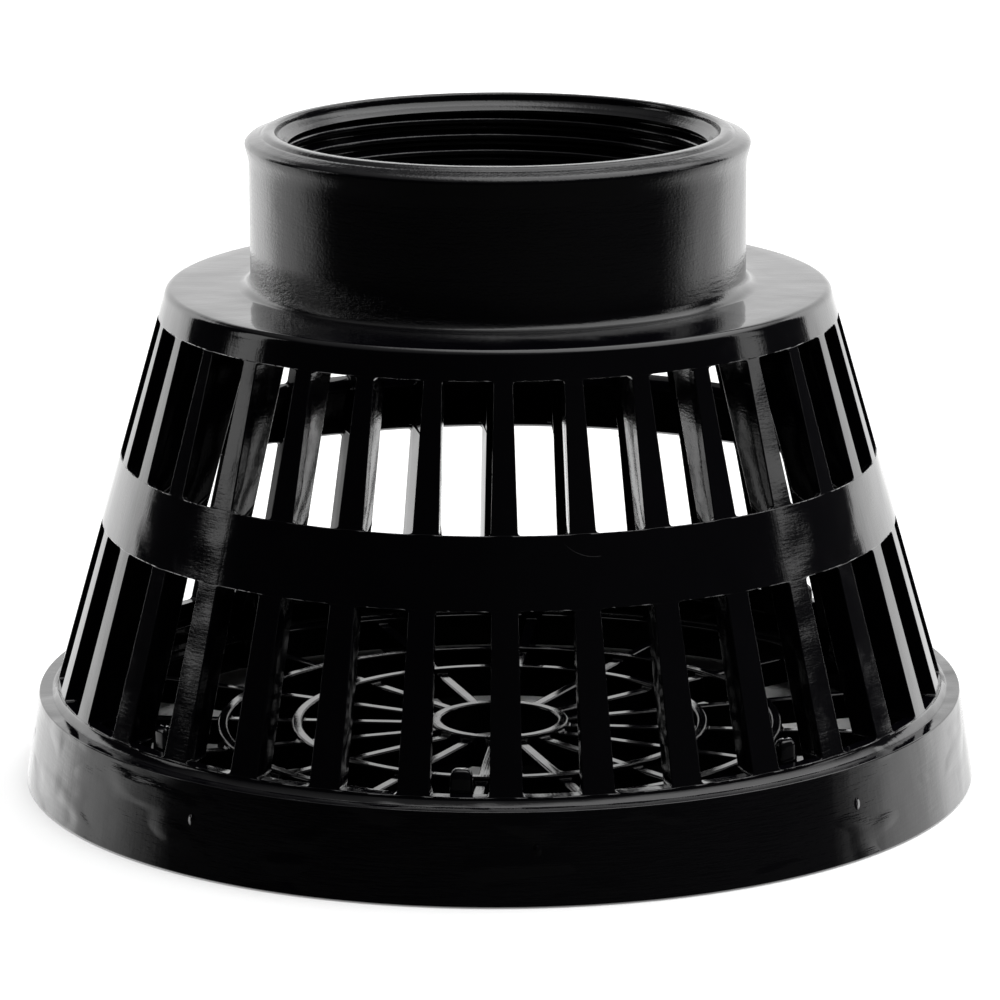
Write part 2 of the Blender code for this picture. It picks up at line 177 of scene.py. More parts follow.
class Nodes:
    """Short calls that add shader nodes to one tree and return their outputs."""

    def __init__(self, tree):
        self.tree = tree

    def add(self, kind, inputs=None, **settings):
        node = self.tree.nodes.new(kind)
        for key, value in settings.items():
            setattr(node, key, value)
        for key, value in (inputs or {}).items():
            if isinstance(value, bpy.types.NodeSocket):
                self.tree.links.new(value, node.inputs[key])
            else:
                node.inputs[key].default_value = value
        return node

    def math(self, operation, a, b=0.0, c=0.0):
        return self.add("ShaderNodeMath", {0: a, 1: b, 2: c}, operation=operation).outputs[0]

    def vector(self, operation, a, b=(0, 0, 0)):
        node = self.add("ShaderNodeVectorMath", {0: a, 1: b}, operation=operation)
        return node.outputs["Value" if operation == "LENGTH" else "Vector"]

    def step(self, value, low, high, a=0.0, b=1.0):
        """Maps value from low..high to a..b with a smooth step."""
        inputs = {"Value": value, 1: low, 2: high, 3: a, 4: b}
        node = self.add("ShaderNodeMapRange", inputs, interpolation_type="SMOOTHSTEP")
        return node.outputs[0]

    def noise(self, vector, scale, detail=2.0, roughness=0.5):
        inputs = {"Vector": vector, "Scale": scale, "Detail": detail, "Roughness": roughness}
        return self.add("ShaderNodeTexNoise", inputs).outputs[0]

    def bump(self, height, strength, distance, under=None):
        inputs = {"Height": height, "Strength": strength, "Distance": distance}
        if under:
            inputs["Normal"] = under
        return self.add("ShaderNodeBump", inputs).outputs[0]

    def mix(self, share, a, b):
        """A mix of two colours."""
        node = self.add("ShaderNodeMix", {0: share}, data_type="RGBA")
        for socket, value in ((node.inputs[6], a), (node.inputs[7], b)):
            if isinstance(value, bpy.types.NodeSocket):
                self.tree.links.new(value, socket)
            else:
                socket.default_value = (*value, 1.0)
        return node.outputs[2]


def new_material(name, slot):
    """A node material for one named slot: (material, its nodes, its shader)."""
    made = bpy.data.materials.new(name)
    made.use_nodes = True
    made["slot"] = slot
    nodes = Nodes(made.node_tree)
    return made, nodes, made.node_tree.nodes["Principled BSDF"]


def plug(nodes, shader, **values):
    """Sets or links the shader's inputs, by names with underscores for spaces."""
    for key, value in values.items():
        socket = shader.inputs[key.replace("_", " ")]
        if isinstance(value, bpy.types.NodeSocket):
            nodes.tree.links.new(value, socket)
        else:
            socket.default_value = value


def gloss_black(name, housing=False):
    """Black moulded plastic with flow lines and dull patches. The housing adds marks of its own."""
    made, n, shader = new_material(name, "black_plastic")
    place = n.add("ShaderNodeTexCoord").outputs["Object"]
    x, y, _ = n.add("ShaderNodeSeparateXYZ", {0: place}).outputs
    around = n.vector("NORMALIZE", n.add("ShaderNodeCombineXYZ", {0: x, 1: y, 2: 0.0}).outputs[0])
    streaks = n.noise(n.vector("MULTIPLY", place, (0.1, 0.1, 1.0)), 2400.0, 3.0, 0.65)
    flow = n.noise(n.vector("ADD", around, n.vector("MULTIPLY", place, (0, 0, 2.0))), 45.0, 3.0, 0.6)
    broad = n.noise(place, 70.0, 2.0)
    grain = n.noise(place, 2600.0, 2.0, 0.6)
    patches = n.noise(place, 160.0, 4.0, 0.65)
    wear = n.step(patches, 0.52, 0.72)
    rough = n.math("MULTIPLY_ADD", wear, 0.07, 0.05)
    rough = n.math("MULTIPLY_ADD", streaks, 0.05, rough)
    color = n.mix(patches, (0.0010, 0.0009, 0.0018), (0.0028, 0.0025, 0.0042))
    normal = n.bump(broad, 0.35, 0.0007)
    normal = n.bump(flow, 0.06, 0.0002, normal)
    streak_share, grain_share = 0.12, 0.12
    if housing:
        normal, streaked, on_collar = housing_marks(n, place, normal)
        streak_share = n.math("MULTIPLY_ADD", streaked, 0.35, 0.1)
        grain_share = n.math("MULTIPLY_ADD", on_collar, 0.55, 0.12)
        rough = n.math("MULTIPLY_ADD", on_collar, 0.06, rough)
    normal = n.bump(n.math("MULTIPLY", streaks, streak_share), 1.0, 0.00006, normal)
    normal = n.bump(n.math("MULTIPLY", grain, grain_share), 1.0, 0.00004, normal)
    plug(n, shader, Base_Color=color, Roughness=rough, Normal=normal, IOR=1.5)
    return made


def housing_marks(n, place, normal):
    """Shallow dents, crumbly flow marks at the collar's foot, nubs on the skirt and a curved scratch.

    Returns the bumped normal, and masks for the streaked faces and for the collar.
    """
    x, y, z = n.add("ShaderNodeSeparateXYZ", {0: place}).outputs
    angle = n.math("ARCTAN2", x, n.math("MULTIPLY", y, -1.0))
    from_axis = n.vector("LENGTH", n.vector("MULTIPLY", place, (1, 1, 0)))
    on_collar = n.math("MULTIPLY", n.step(z, 0.0678, 0.0688), n.step(from_axis, 0.0352, 0.0362, 1.0, 0.0))
    on_skirt = n.step(z, 0.0120, 0.0128, 1.0, 0.0)
    waves = n.noise(n.vector("MULTIPLY", place, (0.5, 0.5, 1.1)), 150.0, 1.0, 0.5)
    dents = n.step(waves, 0.54, 0.72)
    dent_share = n.math("MULTIPLY_ADD", on_skirt, 0.28, 0.015)
    normal = n.bump(n.math("MULTIPLY", dents, dent_share), 1.0, 0.00055, normal)
    low_collar = n.math("MULTIPLY", on_collar, n.step(z, 0.0700, 0.0745, 1.0, 0.0))
    left_front = n.math("MULTIPLY", n.step(angle, -1.55, -1.3), n.step(angle, -0.6, 0.2, 1.0, 0.1))
    crumbs = n.noise(n.vector("MULTIPLY", place, (0.5, 0.5, 1.5)), 1500.0, 4.0, 0.75)
    crumbs = n.math("MULTIPLY", crumbs, n.math("MULTIPLY", low_collar, left_front))
    normal = n.bump(crumbs, 1.0, 0.00020, normal)
    marks = 0.0
    for nub_angle in NUB_ANGLES:
        sideways = n.math("MULTIPLY", n.math("SUBTRACT", angle, nub_angle), 0.064)
        upright = n.math("MULTIPLY", n.math("SUBTRACT", z, NUB_Z), 0.7)
        spot = n.add("ShaderNodeCombineXYZ", {0: sideways, 1: upright, 2: 0.0}).outputs[0]
        marks = n.math("ADD", marks, n.step(n.vector("LENGTH", spot), 0.00015, 0.0006, 1.0, 0.0))
    normal = n.bump(marks, 0.8, 0.00022, normal)
    sideways = n.math("MULTIPLY", n.math("SUBTRACT", angle, SCRATCH_ANGLE), 0.052)
    upright = n.math("SUBTRACT", z, SCRATCH_Z)
    spot = n.add("ShaderNodeCombineXYZ", {0: sideways, 1: upright, 2: 0.0}).outputs[0]
    scratch = n.math("ABSOLUTE", n.math("SUBTRACT", n.vector("LENGTH", spot), SCRATCH_RADIUS))
    scratch = n.step(scratch, 0.0, 0.00007, 1.0, 0.0)
    scratch = n.math("MULTIPLY", scratch, n.step(z, 0.0440, 0.0444, 1.0, 0.0))
    scratch = n.math("MULTIPLY", scratch, n.step(sideways, -0.0046, -0.0042))
    scratch = n.math("MULTIPLY", scratch, n.step(sideways, 0.0005, 0.001, 1.0, 0.0))
    normal = n.bump(scratch, 0.5, 0.00004, normal)
    return normal, n.math("MAXIMUM", on_collar, on_skirt), on_collar


def matte_rubber(name):
    """Dusty black rubber."""
    made, n, shader = new_material(name, "black_rubber")
    place = n.add("ShaderNodeTexCoord").outputs["Object"]
    grain = n.noise(place, 1800.0, 4.0, 0.7)
    dust = n.noise(place, 220.0, 3.0)
    color = n.mix(dust, (0.012, 0.012, 0.012), (0.028, 0.028, 0.027))
    rough = n.math("MULTIPLY_ADD", dust, 0.25, 0.5)
    plug(n, shader, Base_Color=color, Roughness=rough, Normal=n.bump(grain, 0.4, 0.00008))
    return made


def turned_steel(name):
    """Stainless steel with the fine rings that turning leaves."""
    made, n, shader = new_material(name, "stainless_steel")
    place = n.add("ShaderNodeTexCoord").outputs["Object"]
    z = n.add("ShaderNodeSeparateXYZ", {0: place}).outputs[2]
    radius = n.vector("LENGTH", n.vector("MULTIPLY", place, (1, 1, 0)))
    lines_at = n.add("ShaderNodeCombineXYZ", {0: radius, 1: 0.0, 2: z}).outputs[0]
    lines = n.noise(lines_at, 5000.0, 3.0, 0.7)
    stains = n.noise(place, 300.0, 3.0, 0.6)
    color = n.mix(stains, (0.50, 0.50, 0.51), (0.66, 0.66, 0.66))
    rough = n.math("MULTIPLY_ADD", lines, 0.25, 0.18)
    plug(n, shader, Base_Color=color, Roughness=rough, Metallic=1.0, Normal=n.bump(lines, 0.3, 0.00005))
    return made


# Housing


def cone_radius(z):
    """Radius of the cage's outside at a height."""
    return SILL_RADIUS - CONE_SLOPE * (z - SILL_Z)


def slot_half(z, rounded=True):
    """Half the slot's width at a height, with or without its rounded ends."""
    middle = (LOWER_SLOT[1] + UPPER_SLOT[0]) / 2
    foot, top, foot_width, top_width = LOWER_SLOT if z < middle else UPPER_SLOT
    width = foot_width + (top_width - foot_width) * min(max((z - foot) / (top - foot), 0.0), 1.0)
    depth = min(abs(z - foot), abs(z - top), CORNER) if rounded else CORNER
    return width / 2 - CORNER + math.sqrt(CORNER**2 - (CORNER - depth) ** 2)


def ring(bm, radius, z, half=None):
    """A loop of vertices round the axis, with columns at each slot's edges or evenly spaced.

    The radius is a number or a function of the angle.
    """
    spread = math.asin(half / radius) if half else PITCH * SLOT_COLUMNS / COLUMNS / 2
    angles = []
    for k in range(RIBS):
        centre = (k + 0.5) * PITCH
        for i in range(SLOT_COLUMNS):
            angles.append(centre - spread + 2 * spread * i / SLOT_COLUMNS)
        for i in range(RIB_COLUMNS):
            angles.append(centre + spread + (PITCH - 2 * spread) * i / RIB_COLUMNS)
    if callable(radius):
        return [bm.verts.new(polar(radius(a), a, z)) for a in angles]
    return [bm.verts.new(polar(radius, a, z)) for a in angles]


def band(bm, low, high, over="all"):
    """Faces between two rings: all round, or only over the slots or over the ribs."""
    for i in range(len(low)):
        kind = "slots" if i % COLUMNS < SLOT_COLUMNS else "ribs"
        if over in ("all", kind):
            j = (i + 1) % len(low)
            bm.faces.new((low[i], low[j], high[j], high[i]))


def flanks(bm, outer_low, inner_low, outer_high, inner_high):
    """The side faces of the ribs between two heights."""
    for k in range(RIBS):
        for i in (k * COLUMNS, k * COLUMNS + SLOT_COLUMNS):
            bm.faces.new((outer_low[i], inner_low[i], inner_high[i], outer_high[i]))


def chain(bm, start, points, end=None):
    """Bands through a run of even rings, from one open end to another."""
    last = start
    for radius, z in points:
        following = ring(bm, radius, z)
        if last:
            band(bm, last, following)
        else:
            start = following
        last = following
    if end:
        band(bm, last, end)
    return start, last


def end_rows(z, side):
    """Heights that follow a slot's rounded corner, from its end inwards."""
    return [z + side * CORNER * share for share in (0, 0.08, 0.3, 0.62, 1.0)]


def rib_depth(z):
    """How far the ribs reach inwards from the cone at a height."""
    share = (z - LOWER_SLOT[1]) / (PLATE_UNDER_Z - LOWER_SLOT[1])
    return RIB_DEPTH + (RIB_TOP_DEPTH - RIB_DEPTH) * max(share, 0.0)


def skin_rise(z):
    """How far the skin's inner face is lifted at a height, so that slot tops slope up and sills fall."""
    rise = 0.0
    for height, amount in ((LOWER_SLOT[1], SLOT_TOP_RISE), (UPPER_SLOT[0], -SILL_DROP)):
        reach = 3 * MM
        rise += amount * smooth(height - reach, height, z) * (1 - smooth(height, height + reach, z))
    return rise


def cage(bm):
    """The ribbed, slotted wall. Returns its open ends: outside foot and top, inside foot and top."""
    rows = [(SHELF_Z, False)]
    for foot, top, *_ in (LOWER_SLOT, UPPER_SLOT):
        rows += [(z, False) for z in reversed(end_rows(foot, -1)[1:]) if z > SHELF_Z + 0.5 * MM]
        rows += [(z, True) for z in end_rows(foot, 1)]
        rows += [(foot + (top - foot) * i / 6, True) for i in range(1, 6)]
        rows += [(z, True) for z in reversed(end_rows(top, -1)[1:])]
        rows += [(z, False) for z in end_rows(top, 1)]
    rows = [row for row in rows if row[0] < PLATE_UNDER_Z - 0.3 * MM]
    rows.append((PLATE_UNDER_Z, False))
    skins, ribs = [], []
    for z, _ in rows:
        half = slot_half(z)
        layers = []
        for share in SKIN_SHARES:
            height = z + skin_rise(z) * share * share
            if share == 0:
                height = max(z, SKIRT_TOP_Z)
            layers.append(ring(bm, cone_radius(z) - CAGE_SKIN * share, height, half))
        skins.append(layers)
        inner_half = slot_half(z, False) + RIB_TAPER
        ribs.append(ring(bm, cone_radius(z) - rib_depth(z), z, inner_half))
    for i in range(len(rows) - 1):
        slotted = rows[i][1]
        low, high = skins[i], skins[i + 1]
        if rows[i + 1][0] > SKIRT_TOP_Z:
            band(bm, low[0], high[0], "ribs" if slotted else "all")
        band(bm, ribs[i], ribs[i + 1], "ribs")
        flanks(bm, low[-1], ribs[i], high[-1], ribs[i + 1])
        pairs = list(zip(range(len(low)), range(1, len(low))))
        if slotted:
            for a, b in pairs:
                flanks(bm, low[a], low[b], high[a], high[b])
        else:
            band(bm, low[-1], high[-1], "slots")
        if slotted != (i > 0 and rows[i - 1][1]):
            for a, b in pairs:
                band(bm, low[a], low[b], "slots")
    band(bm, skins[0][-1], ribs[0], "ribs")
    band(bm, skins[-1][-1], ribs[-1], "slots")
    return skins[0][0], skins[-1][0], skins[0][-1], ribs[-1]


def thread_rows():
    """(radius by angle, height) rows of the bore, with the thread's rounded crests, from its mouth down."""
    rows = []
    top = COLLAR_TOP_Z - 2.15 * MM
    step = THREAD_PITCH / 14
    count = math.ceil((top - THREAD_END_Z + THREAD_PITCH) / step)
    for i in range(1, count + 1):
        z = top - i * step
        fade = smooth(THREAD_END_Z - THREAD_PITCH, THREAD_END_Z, z)

        def radius(angle, z=z, fade=fade):
            phase = (z / THREAD_PITCH - angle / TAU) % 1.0
            crest = smooth(0.10, 0.42, abs(phase - 0.5))
            return THREAD_MINOR + (THREAD_MAJOR - THREAD_MINOR) * (1 - crest) * fade

        rows.append((radius, z))
    return rows


def in_bore(point):
    """Whether a point lies in the collar's bore, whose thread keeps its own edges."""
    return math.hypot(point.x, point.y) < 34 * MM and point.z > 72 * MM


def strainer_body(material):
    """The cage, skirt, plate, beaded collar and threaded bore as one closed skin."""
    bm = bmesh.new()
    foot, shoulder, inner_foot, inner_top = cage(bm)
    wall_foot = SKIRT_FOOT_RADIUS - SKIRT_WALL
    wall_top = SKIRT_TOP_RADIUS - SKIRT_WALL
    skirt = [(SKIRT_TOP_RADIUS, SKIRT_TOP_Z)]
    for i in range(1, 5):
        share = i / 5
        radius = SKIRT_TOP_RADIUS + (SKIRT_FOOT_RADIUS - SKIRT_TOP_RADIUS) * share
        skirt.append((radius, SKIRT_TOP_Z * (1 - share)))
    skirt += [(SKIRT_FOOT_RADIUS, 0), (wall_foot, 0), (wall_top, SHELF_Z)]
    chain(bm, foot, skirt, inner_foot)
    top = [(cone_radius(z), z) for z in (65.9 * MM, 66.4 * MM)]
    shoulder_centre = (44.05 * MM, 66.55 * MM)
    top += arc(shoulder_centre, PLATE_TOP_Z - shoulder_centre[1], 16, 90, 5)
    top += [(42.0 * MM, PLATE_TOP_Z), (39.0 * MM, PLATE_TOP_Z), (37.0 * MM, PLATE_TOP_Z)]
    fillet = 1.7 * MM
    top += arc((COLLAR_RADIUS + fillet, PLATE_TOP_Z + fillet), fillet, 270, 180, 6)
    top += [(COLLAR_RADIUS, z * MM) for z in (72, 75, 78, 81, 83.6)]
    bead = [(33.47, 84.4), (33.56, 85.1), (33.74, 85.8), (33.92, 86.4), (34.0, 86.9), (33.96, 87.2)]
    bead += [(33.72, 87.46), (33.5, 87.64), (33.2, 87.77), (32.8, 87.9), (32.3, 88.07), (31.9, 88.23)]
    bead += [(31.8, 88.22), (31.7, 88.34), (31.45, 88.52), (31.2, 88.65)]
    bead += [(30.9, 88.7), (30.2, 88.7), (29.97, 88.6), (29.87, 88.4), (29.85, 88.0), (29.83, 87.8)]
    bead += [(29.7, 87.62), (29.1, 87.14), (29.02, 87.12), (28.95, 87.02), (28.5, 86.66), (28.33, 86.55)]
    top += [(r * MM, z * MM) for r, z in bead]
    top += thread_rows()
    top += [(THREAD_MINOR, z * MM) for z in (73, 70.2)]
    top += [(THREAD_MINOR, LEDGE_Z), (LEDGE_BORE, LEDGE_Z)]
    top += [(LEDGE_BORE, PLATE_UNDER_Z), (32 * MM, PLATE_UNDER_Z)]
    chain(bm, shoulder, top, inner_top)
    bmesh.ops.delete(bm, geom=[vert for vert in bm.verts if not vert.link_faces], context="VERTS")
    add_piece("strainer_body_shell", bm, material, "body", "strainer_body", 0.16 * MM, 2, 75, in_bore)


# Grid, as in the CAD

GRID_UNDER_Z = 2.0 * MM
RING_TOP_Z = 6.4 * MM
SPOKE_TOP_Z = 5.7 * MM
RIM_TOP_Z = 9.9 * MM
SPOKES = 16
SPOKE_HALF = 0.8 * MM
CELL_COLUMNS = 10
GRID_RADII = (8.05, 9.55, 27.2, 28.7, 37.4, 38.9, 56.6, 58.9, 60.6)  # in mm: hub, rings and rim
GRID_RINGS = {0, 2, 4, 6, 7}  # the gaps between those radii that are solid all round
RIM_GAP = 7
PEGS = 8
PEG_RADIUS = 57.6 * MM
PEG_FOOT_Z = 5.9 * MM
PEG_TOP_Z = 15.9 * MM
PEG_WIDTH = 3.5 * MM
PEG_DEPTH = 2.2 * MM
PEG_LEAN = 0.03

# Each side of a cell: the step to the neighbour across it, and its corners, as (radius, height, column)
CELL_SIDES = (
    ((-1, 0, 0), ((0, 0, 0), (0, 1, 0), (0, 1, 1), (0, 0, 1))),
    ((1, 0, 0), ((1, 0, 0), (1, 0, 1), (1, 1, 1), (1, 1, 0))),
    ((0, -1, 0), ((0, 0, 0), (0, 0, 1), (1, 0, 1), (1, 0, 0))),
    ((0, 1, 0), ((0, 1, 0), (1, 1, 0), (1, 1, 1), (0, 1, 1))),
    ((0, 0, -1), ((0, 0, 0), (1, 0, 0), (1, 1, 0), (0, 1, 0))),
    ((0, 0, 1), ((0, 0, 1), (0, 1, 1), (1, 1, 1), (1, 0, 1))),
)


def cell_faces(bm, counts, vert, solid):
    """The faces of the solid cells that have no solid neighbour across them."""
    for i in range(counts[0]):
        for k in range(counts[1]):
            for j in range(counts[2]):
                if not solid(i, k, j):
                    continue
                for (di, dk, dj), corners in CELL_SIDES:
                    if not solid(i + di, k + dk, j + dj):
                        bm.faces.new([vert(i + a, k + b, j + c) for a, b, c in corners])


def grid_plate(material):
    """The bottom grid from solid cells between radii, heights and columns that follow the spokes' edges."""
    radii = GRID_RADII
    heights = (GRID_UNDER_Z, SPOKE_TOP_Z, RING_TOP_Z, RIM_TOP_Z)
    columns = CELL_COLUMNS + 1
    bm = bmesh.new()
    made = {}

    def vert(i, k, j):
        j %= SPOKES * columns
        if (i, k, j) not in made:
            radius = radii[i] * MM
            if i == len(radii) - 1:
                radius += (heights[-1] - heights[k]) / 6
            spread = math.asin(SPOKE_HALF / radius)
            spoke, part = divmod(j, columns)
            angle = (spoke - 0.25) * TAU / SPOKES - spread
            if part:
                angle += 2 * spread + (TAU / SPOKES - 2 * spread) * (part - 1) / CELL_COLUMNS
            made[i, k, j] = bm.verts.new(polar(radius, angle, heights[k]))
        return made[i, k, j]

    def solid(i, k, j):
        if not (0 <= i < len(radii) - 1 and 0 <= k < len(heights) - 1):
            return False
        if k == len(heights) - 2:
            return i == RIM_GAP
        if i in GRID_RINGS:
            return True
        return k == 0 and j % columns == 0

    cell_faces(bm, (len(radii) - 1, len(heights) - 1, SPOKES * columns), vert, solid)
    add_piece("grid_plate", bm, material, "grid", "bottom_grid", 0.3 * MM, 3)


def grid_peg(material, index):
    """A tapered post with a domed top that leans towards the axis."""
    angle = (index * RIBS // PEGS - 0.5) * PITCH
    out = Vector((math.sin(angle), -math.cos(angle), 0))
    side = Vector((math.cos(angle), math.sin(angle), 0))
    bm = bmesh.new()
    levels = [(0.0, 1.0), (0.3, 0.95), (0.6, 0.89), (0.86, 0.83), (0.93, 0.79), (0.975, 0.68), (1.0, 0.5)]
    loops = []
    count = 32
    for share, size in levels:
        z = PEG_FOOT_Z + (PEG_TOP_Z - PEG_FOOT_Z) * share
        centre = out * (PEG_RADIUS - PEG_LEAN * (z - PEG_FOOT_Z + 0.5 * MM))
        loop = []
        for k in range(count):
            turn = (k + 0.5) * TAU / count
            c, s = math.cos(turn), math.sin(turn)
            along = math.copysign(abs(c) ** 0.5, c) * PEG_DEPTH / 2 * size
            across = math.copysign(abs(s) ** 0.5, s) * PEG_WIDTH / 2 * size
            point = centre + out * along + side * across
            loop.append(bm.verts.new((point.x, point.y, z)))
        loops.append(loop)
    capped_tube(bm, loops)
    add_piece(f"grid_peg_{index + 1}", bm, material, "grid", smooth_angle=60)


# Check valve


def turned(name, profile, material, body, node, rounding=0.2 * MM, steps=128):
    """A lathe-turned piece from a closed outline of (radius, z) points in millimetres."""
    bm = bmesh.new()
    loops = []
    for i in range(steps):
        angle = TAU * i / steps
        loops.append([bm.verts.new(polar(r * MM, angle, z * MM)) for r, z in profile])
    for i in range(steps):
        a, b = loops[i], loops[(i + 1) % steps]
        for k in range(len(profile)):
            j = (k + 1) % len(profile)
            bm.faces.new((a[k], a[j], b[j], b[k]))
    return add_piece(name, bm, material, body, node, rounding, 2)


def hexagon_rows(apothem, bore, low, high, chamfer, steps=96):
    """Rows of a hexagon whose corners are turned off at both ends, from the bore round to the bore."""
    heights = [low + (high - low) * s for s in (0, 0.08, 0.16, 0.3, 0.7, 0.84, 0.92, 1.0)]
    rows = [[(bore, low)] * steps]
    for z in heights:
        depth = min(z - low, high - z)
        row = []
        for i in range(steps):
            turn = (TAU * i / steps + math.pi / 6) % (math.pi / 3) - math.pi / 6
            row.append((min(apothem / math.cos(turn), apothem + chamfer * depth), z))
        rows.append(row)
    rows.append([(bore, high)] * steps)
    return rows


def skin_rows(bm, rows, closed):
    """Bands between rows of (radius, z) points per step round the axis, closed on themselves or capped."""
    steps = len(rows[0])
    loops = []
    for row in rows:
        loops.append([bm.verts.new(polar(r, TAU * i / steps, z)) for i, (r, z) in enumerate(row)])
    if not closed:
        capped_tube(bm, loops)
        return
    for a, b in zip(loops, loops[1:] + loops[:1]):
        for i in range(steps):
            j = (i + 1) % steps
            bm.faces.new((a[i], a[j], b[j], b[i]))


def valve_stem(material):
    """The stem with its hexagonal head, capped at both ends."""
    steps = 96
    shank = [(1.7, 54.9), (2.0, 55.3), (2.0, 60.0), (2.0, 70.0), (2.0, 80.1)]
    rows = [[(r * MM, z * MM)] * steps for r, z in shank]
    bm = bmesh.new()
    rows += hexagon_rows(3.5 * MM, 2.2 * MM, 80.1 * MM, 82.3 * MM, 1.5, steps)[1:-1]
    rows.append([(2.6 * MM, 82.3 * MM)] * steps)
    rows.append([(2.3 * MM, 82.15 * MM)] * steps)
    skin_rows(bm, rows, False)
    add_piece("valve_stem_pin", bm, material, "poppet", "valve_stem", 0.1 * MM)


def stem_nut(material):
    """The hexagonal nut under the spring's retainer."""
    bm = bmesh.new()
    skin_rows(bm, hexagon_rows(3.5 * MM, 2.3 * MM, 55.2 * MM, 57.2 * MM, 1.5), True)
    add_piece("stem_nut_hex", bm, material, "poppet", "stem_nut", 0.1 * MM)


def return_spring(material):
    """A conical coil with closed end turns."""
    low, high = 58.8 * MM, 69.6 * MM
    wire = 0.45 * MM
    turns, steps, sides = 4.5, 56, 14
    count = round(turns * steps)
    bm = bmesh.new()
    loops = []
    for step in range(count + 1):
        share = step / count
        angle = TAU * step / steps
        radius = (5.3 + 2.7 * share) * MM
        rise = smooth(0.0, 1.0, share) * 0.45 + share * 0.55
        z = low + wire + (high - low - 2 * wire) * rise
        loop = []
        for k in range(sides):
            turn = TAU * k / sides
            out, up = wire * math.cos(turn), wire * math.sin(turn)
            loop.append(bm.verts.new(polar(radius + out, angle, z + up)))
        loops.append(loop)
    capped_tube(bm, loops)
    spring = add_piece("return_spring_coil", bm, material, "body", "return_spring")
    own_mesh(spring)


def valve_seat(material):
    """The seat ring with its lip, four arms and the hub, as cells between radii, heights and columns."""
    radii = [2.1, 4.4, 17.6, 19.0, 19.5, 27.95]
    heights = [64.8, 69.9, 72.6, 72.8, 73.2, 74.2]
    arms, half, per = 4, 1.1 * MM, 24
    columns = per + 2
    bm = bmesh.new()
    made = {}

    def vert(i, k, j):
        j %= arms * columns
        if (i, k, j) not in made:
            radius = radii[i] * MM
            z = 69.7 * MM if k == 1 and i >= 2 else heights[k] * MM
            spread = math.asin(min(half / radius, 0.5))
            arm, part = divmod(j, columns)
            angle = (arm + 0.5) * TAU / arms - spread + spread * min(part, 2)
            if part > 2:
                angle += (TAU / arms - 2 * spread) * (part - 2) / per
            made[i, k, j] = bm.verts.new(polar(radius, angle, z))
        return made[i, k, j]

    def solid(i, k, j):
        if not (0 <= i < 5 and 0 <= k < 5):
            return False
        arm = j % columns < 2
        if i == 0:
            return k <= 2
        if i == 1:
            return arm and k == 1
        if i == 2:
            return k >= 1
        return 1 <= k <= 3

    cell_faces(bm, (len(radii) - 1, len(heights) - 1, arms * columns), vert, solid)
    add_piece("valve_seat_ring", bm, material, "body", "valve_seat", 0.2 * MM, 2)


def washer(inner, outer, low, high):
    """A square section for turned()."""
    return [(inner, low), (outer, low), (outer, high), (inner, high)]


def check_valve(black, rubber, steel):
    """The valve in the neck, from its seat to the stem's nut. Sizes are in millimetres, as in the CAD."""
    turned("seat_gasket_ring", washer(24.6, 27.6, 68.2, 69.4), rubber, "body", "seat_gasket")
    turned("pipe_gasket_ring", washer(22.4, 27.6, 73.5, 75.3), rubber, "body", "pipe_gasket")
    valve_seat(black)
    clamp = [(2.3, 73.2), (13.6, 73.2), (14.5, 73.6), (14.5, 74.2), (2.3, 74.2)]
    turned("seal_clamp_disc", clamp, steel, "poppet", "seal_clamp_plate", 0.1 * MM)
    turned("poppet_seal_disc", washer(2.3, 20.4, 74.5, 76.3), rubber, "poppet", "poppet_seal", 0.3 * MM)
    plate = [(2.3, 76.6), (21.2, 76.6), (21.2, 77.8), (20.9, 78.3), (20.4, 78.6), (12.0, 78.6)]
    plate += [(11.6, 78.35), (11.2, 78.35), (10.8, 78.6), (7.7, 78.6)]
    plate += [(6.9, 79.0), (6.5, 79.8), (2.3, 79.8)]
    turned("poppet_plate_disc", plate, black, "poppet", "poppet_plate", 0.15 * MM)
    retainer = washer(2.3, 6.6, 57.5, 58.5)
    turned("spring_retainer_washer", retainer, steel, "poppet", "spring_retainer", 0.15 * MM)
    valve_stem(steel)
    stem_nut(steel)
    return_spring(steel)


# Studio

FLOOR_RADIUS = 0.55
FLOOR_DROP = 0.2 * MM
# painted shadow: the floor's glow is cut away inside the skirt's foot, where the object shades it
SHADE_FOOTPRINT = (64.0 * MM, 65.2 * MM)  # the floor is dark inside the skirt's foot
CAMERA_PLACE = (-0.00926, -0.6923, 0.2026)
CAMERA_DOWN = 0.2343
CAMERA_TURN = 0.0136
CAMERA_ROLL = 0.0033
CAMERA_LENS = 187.7


